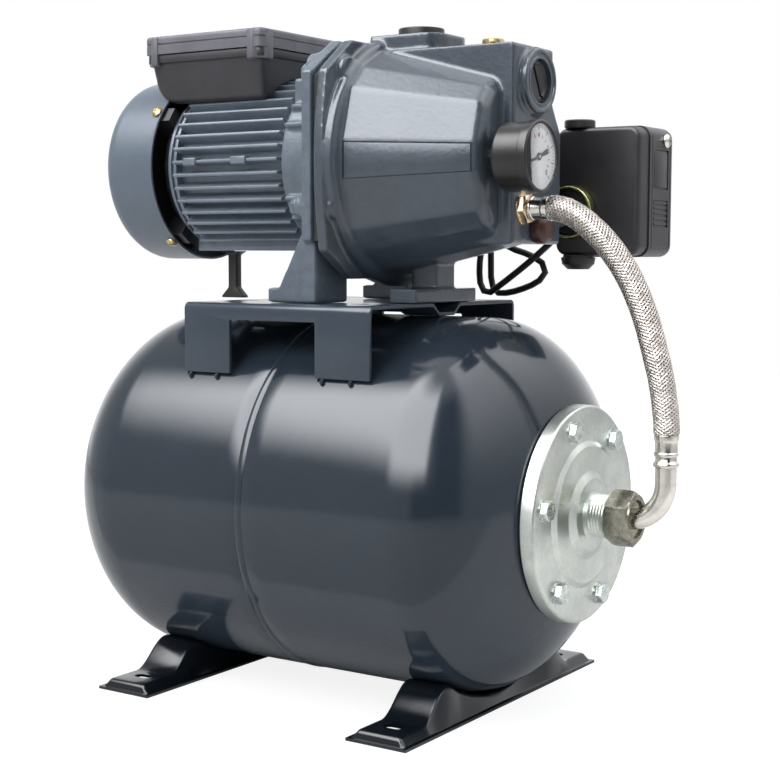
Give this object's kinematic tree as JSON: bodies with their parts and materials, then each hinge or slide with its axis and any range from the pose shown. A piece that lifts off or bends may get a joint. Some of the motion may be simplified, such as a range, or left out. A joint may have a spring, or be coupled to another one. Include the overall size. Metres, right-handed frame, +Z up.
{
  "type": "booster pump set",
  "caption": "Self-priming jet pump and finned motor on a horizontal pressure tank with pressed feet, joined by a braided hose, with a gauge and pressure switch.",
  "frame": {"origin": "on the ground under the middle of the set's outline", "axes": "+X along the tank and the motor shaft, from the fan cover towards the suction port; +Z up; -Y is the side without the pressure switch"},
  "size_m": [0.4984, 0.276, 0.489],
  "materials": {
    "tank_paint": "high gloss stove enamel",
    "cast_paint": "glossy paint over rough casting",
    "frame_paint": "glossy paint over an extruded or cast surface",
    "cover_paint": "smooth satin paint",
    "zinc": "clear zinc plating",
    "nickel": "nickel plating",
    "brass": "plain machined brass",
    "steel": "ground steel",
    "laminate": "varnished laminations and copper",
    "black_plastic": "fine satin moulding",
    "rubber": "matt rubber",
    "dial_white": "matt white print",
    "lens": "clear",
    "red_plug": "matt",
    "braid": "bright woven stainless wire"
  },
  "bodies": {
    "set": {"air_valve": "brass", "air_valve_cap": "black_plastic", "body_bolt_1": "zinc", "body_bolt_2": "zinc", "body_bolt_3": "zinc", "body_bolt_4": "zinc", "body_gasket": "rubber", "box_gland": "black_plastic", "braided_hose": "braid", "cover_screw_1": "brass", "cover_screw_2": "brass", "cover_screw_3": "brass", "diffuser": "black_plastic", "discharge_plug": "black_plastic", "drain_plug": "red_plug", "fan_cover": "cover_paint", "flange_bolt_1": "zinc", "flange_bolt_2": "zinc", "flange_bolt_3": "zinc", "flange_bolt_4": "zinc", "flange_bolt_5": "zinc", "flange_bolt_6": "zinc", "front_bearing": "steel", "front_foot": "tank_paint", "gauge_case": "black_plastic", "gauge_dial": "dial_white", "gauge_lens": "lens", "hose_adaptor": "brass", "lower_ferrule": "nickel", "motor_bracket": "cast_paint", "motor_frame": "frame_paint", "motor_lead": "rubber", "motor_support": "black_plastic", "priming_plug": "brass", "pump_body": "cast_paint", "pump_bracket": "tank_paint", "rear_bearing": "steel", "rear_foot": "tank_paint", "rear_shield": "frame_paint", "shaft_seal": "rubber", "stator": "laminate", "suction_plug": "black_plastic", "switch_base": "black_plastic", "switch_cover": "black_plastic", "switch_gland": "black_plastic", "switch_nipple": "zinc", "switch_screw": "nickel", "tank_bladder": "rubber", "tank_elbow": "nickel", "tank_flange": "zinc", "tank_shell": "tank_paint", "terminal_box_base": "black_plastic", "terminal_box_lid": "black_plastic", "union_nut": "nickel", "upper_ferrule": "nickel"},
    "rotor": {"rotor_shaft": "steel", "cooling_fan": "black_plastic", "impeller": "brass"},
    "needle": {"gauge_needle": "black_plastic"}
  },
  "joints": [
    {"name": "rotor_spin", "type": "hinge", "parent": "set", "child": "rotor", "pos_m": [-0.09221, 0, 0.39], "axis": [1, 0, 0], "continuous": true},
    {"name": "needle_turn", "type": "hinge", "parent": "set", "child": "needle", "pos_m": [0.16299, -0.041, 0.389], "axis": [-1, 0, 0], "range_deg": [0, 262], "stiffness_Nm_per_rad": 0.0002}
  ]
}
